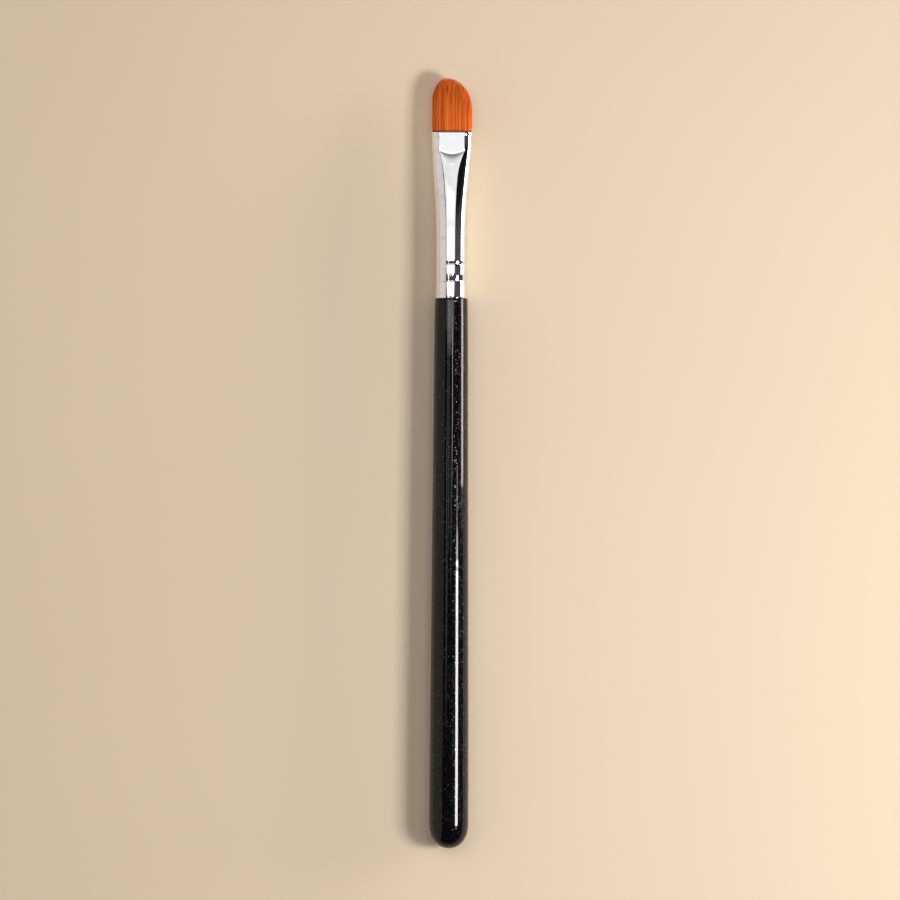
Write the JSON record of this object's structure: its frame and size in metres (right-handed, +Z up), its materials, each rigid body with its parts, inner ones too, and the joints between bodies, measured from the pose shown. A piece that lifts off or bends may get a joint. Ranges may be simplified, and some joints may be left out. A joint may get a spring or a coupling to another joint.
{
  "type": "concealer brush",
  "caption": "Slim make-up brush: tapered lacquered wooden handle, crimped bright metal ferrule pressed flat at the mouth, and a flat, slanted, rounded tuft of synthetic filaments.",
  "frame": {"origin": "bottom centre of the brush's box: middle of its length and width, on the surface that it lies on", "axes": "+Y along the brush towards the tip of the tuft, +Z up, square to the flats of the ferrule, +X to the right, the side on which the tuft's outline slants down"},
  "size_m": [0.0092, 0.1699, 0.0085],
  "materials": {
    "black_lacquer": "high-gloss black lacquer over turned wood, with very fine coloured shimmer",
    "bright_plating": "mirror-bright plating on a thin drawn tube",
    "orange_filament": "satin orange-brown tapered synthetic filaments",
    "root_adhesive": "filament roots set in clear amber adhesive",
    "handle_adhesive": "hard clear adhesive"
  },
  "bodies": {
    "root": {"handle": "black_lacquer", "ferrule": "bright_plating", "bristle_tuft": "orange_filament", "root_plug": "root_adhesive", "handle_glue": "handle_adhesive"}
  },
  "joints": []
}
